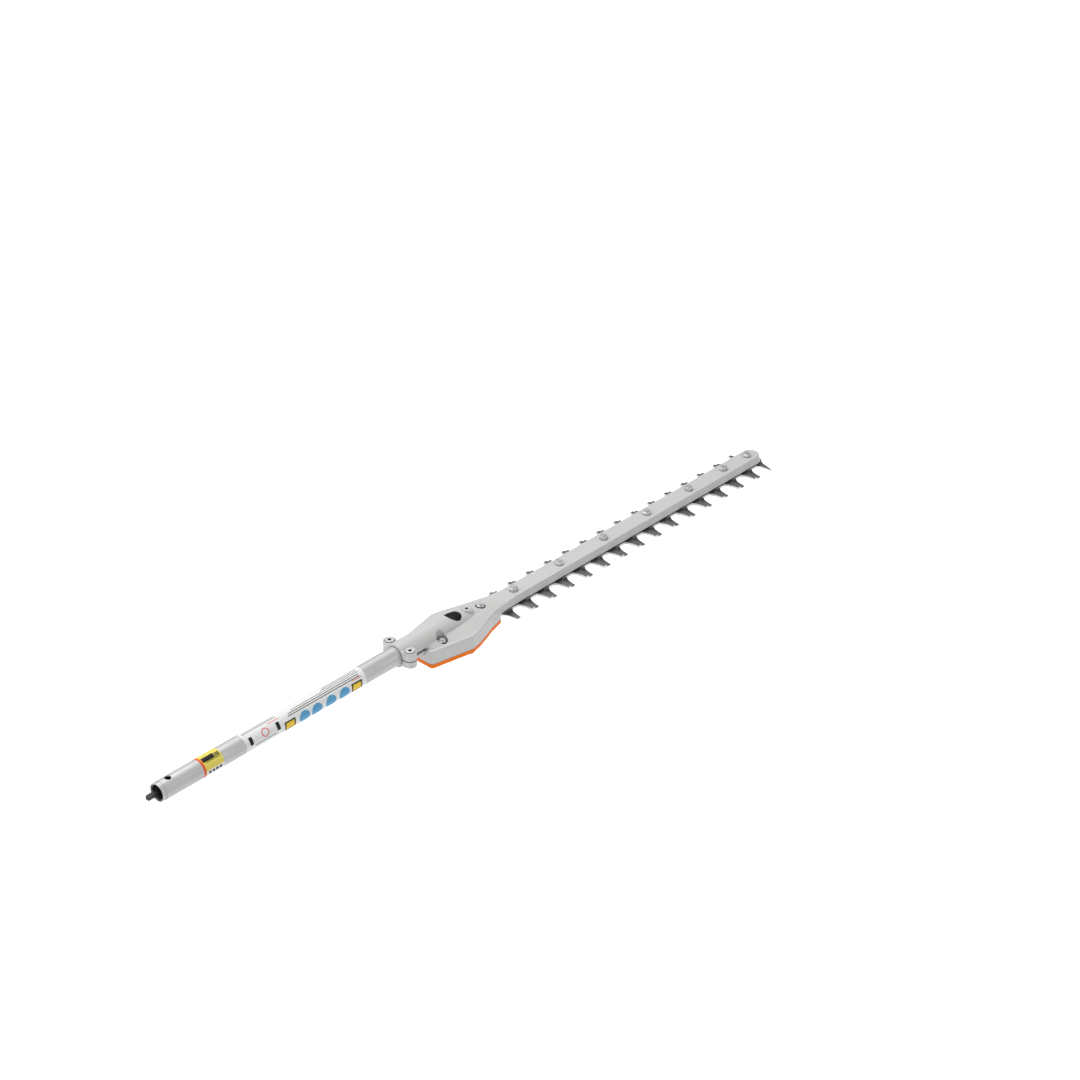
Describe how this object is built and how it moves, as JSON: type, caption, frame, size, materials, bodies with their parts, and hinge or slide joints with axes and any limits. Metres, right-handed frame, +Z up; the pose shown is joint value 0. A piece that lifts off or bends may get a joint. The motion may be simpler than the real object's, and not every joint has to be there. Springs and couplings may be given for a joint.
{
  "type": "hedge trimmer attachment",
  "caption": "Long tube with a cast gear case and guide bar, and two toothed blades that slide against each other, driven by a shaft, bevel gears and a crank.",
  "frame": {"origin": "centre of the drive tube's open end", "axes": "+X along the tube to the blade tip, +Z up, away from the bottom cover"},
  "size_m": [1.1096, 0.0752, 0.0478],
  "materials": {
    "tube_aluminium": "satin drawn tube",
    "case_paint": "light grey painted die casting",
    "sleeve_steel": "turned",
    "bush_plastic": "moulded nylon",
    "zinc_steel": "bright zinc plate",
    "bearing_steel": "ground",
    "spring_steel": "blackened",
    "black_rubber": "matt",
    "orange_plastic": "moulded",
    "black_steel": "black coated",
    "insert_plastic": "nylon",
    "shaft_steel": "dark drawn steel",
    "gear_steel": "hardened and oiled",
    "rod_steel": "stamped",
    "blade_steel": "dark satin steel with ground edges"
  },
  "bodies": {
    "head": {"drive_tube": "tube_aluminium", "tube_end_sleeve": "sleeve_steel", "shaft_bushes": "bush_plastic", "gear_housing": "case_paint", "lower_clamp": "case_paint", "clamp_screws": "zinc_steel", "pinion_bearing_outer": "bearing_steel", "pinion_bearing_balls": "bearing_steel", "bore_circlip": "spring_steel", "crank_bearing_outer": "bearing_steel", "crank_bearing_balls": "bearing_steel", "bore_plug": "black_rubber", "filler_plug": "zinc_steel", "filler_washer": "zinc_steel", "bottom_cover": "orange_plastic", "cover_gasket": "black_rubber", "cover_screws": "zinc_steel", "case_bolts": "zinc_steel", "case_nuts": "zinc_steel", "guide_screw": "zinc_steel", "guide_nut": "zinc_steel", "spacer_strip": "black_steel", "blade_screws": "zinc_steel", "blade_washers": "zinc_steel", "lock_nuts": "zinc_steel", "lock_nut_inserts": "insert_plastic"},
    "drive_line": {"drive_shaft": "shaft_steel", "bevel_pinion": "gear_steel", "pinion_circlip": "spring_steel", "pinion_bearing_inner": "bearing_steel"},
    "crank": {"crankshaft": "gear_steel", "bevel_wheel": "gear_steel", "wheel_key": "shaft_steel", "crank_circlip": "spring_steel", "crank_bearing_inner": "bearing_steel"},
    "upper_rod_body": {"upper_rod": "rod_steel", "upper_rod_pin": "shaft_steel"},
    "lower_rod_body": {"lower_rod": "rod_steel", "lower_rod_pin": "shaft_steel"},
    "upper_blade_body": {"upper_blade": "blade_steel"},
    "lower_blade_body": {"lower_blade": "blade_steel"}
  },
  "joints": [
    {"name": "crank_spin", "type": "hinge", "parent": "head", "child": "crank", "pos_m": [0.487, 0, 0], "axis": [0, 0, 1], "continuous": true},
    {"name": "shaft_spin", "type": "hinge", "parent": "head", "child": "drive_line", "pos_m": [0, 0, 0], "axis": [1, 0, 0], "continuous": true},
    {"name": "upper_rod_turn", "type": "hinge", "parent": "crank", "child": "upper_rod_body", "pos_m": [0.4915, 0.00733, -0.01465], "axis": [0, 0, 1], "continuous": true},
    {"name": "lower_rod_turn", "type": "hinge", "parent": "crank", "child": "lower_rod_body", "pos_m": [0.4825, -0.00733, -0.02435], "axis": [0, 0, 1], "continuous": true},
    {"name": "upper_blade_slide", "type": "slide", "parent": "head", "child": "upper_blade_body", "axis": [1, 0, 0], "range_m": [-0.0131, 0.0041]},
    {"name": "lower_blade_slide", "type": "slide", "parent": "head", "child": "lower_blade_body", "axis": [1, 0, 0], "range_m": [-0.0041, 0.0131]}
  ],
  "couplings": [
    {"joint": "shaft_spin", "follows": "crank_spin", "ratio": -3.6154},
    {"joint": "upper_rod_turn", "follows": "crank_spin", "ratio": -1},
    {"joint": "lower_rod_turn", "follows": "crank_spin", "ratio": -1},
    {"joint": "lower_blade_slide", "follows": "upper_blade_slide", "ratio": -1}
  ]
}
